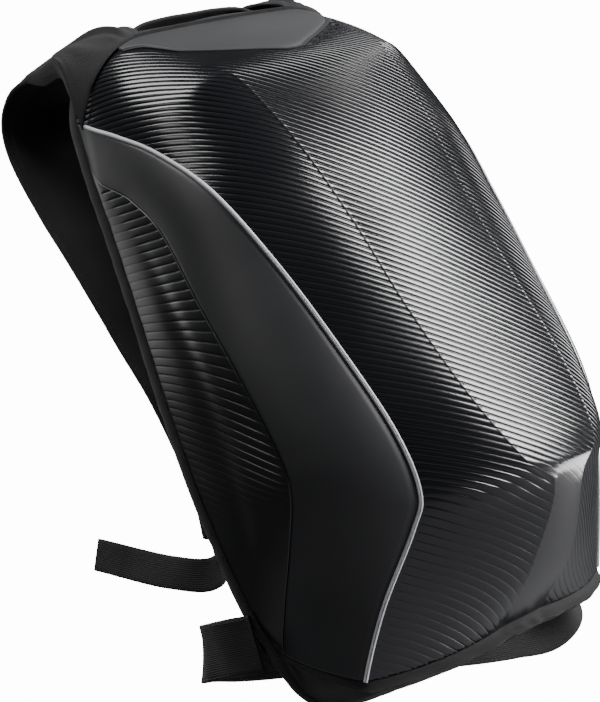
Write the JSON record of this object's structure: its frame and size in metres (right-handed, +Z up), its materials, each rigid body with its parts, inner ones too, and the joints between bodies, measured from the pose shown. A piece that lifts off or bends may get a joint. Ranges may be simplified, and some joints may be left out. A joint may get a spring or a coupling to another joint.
{
  "type": "hard shell backpack",
  "caption": "Hard shell backpack with a ribbed moulded shell, smooth side panels, padded shoulder straps, a grab handle and a webbing hip belt",
  "frame": {"origin": "the middle of the back panel's rear face, where the wearer's back lies", "axes": "+Z up along the bag, +Y out of the back panel towards the wearer, -Y out of the shell's front, X from side to side"},
  "size_m": [0.3534, 0.3595, 0.5698],
  "materials": {
    "ribbed_shell": "embossed diagonal ribs with a satin gloss",
    "side_panel": "smooth and matte",
    "top_patch": "smooth and matte",
    "piping": "satin light grey welt",
    "fabric": "tight polyester weave",
    "back_mesh": "spacer mesh over padding",
    "webbing": "woven polyester webbing",
    "plastic": "moulded and matte"
  },
  "bodies": {
    "root": {"main_shell": "ribbed_shell", "top_patch": "top_patch", "rim_binding": "fabric", "back_panel": "back_mesh", "fabric_bottom": "fabric", "top_band": "fabric", "grab_handle": "webbing", "hip_belt": "webbing", "side_panel_left": "side_panel", "side_insert_left": "ribbed_shell", "piping_left": "piping", "yoke_left": "fabric", "shoulder_strap_left": "fabric", "ladder_lock_left": "plastic", "lower_webbing_left": "webbing", "webbing_tail_left": "webbing", "side_panel_right": "side_panel", "side_insert_right": "ribbed_shell", "piping_right": "piping", "yoke_right": "fabric", "shoulder_strap_right": "fabric", "ladder_lock_right": "plastic", "lower_webbing_right": "webbing", "webbing_tail_right": "webbing"}
  },
  "joints": []
}
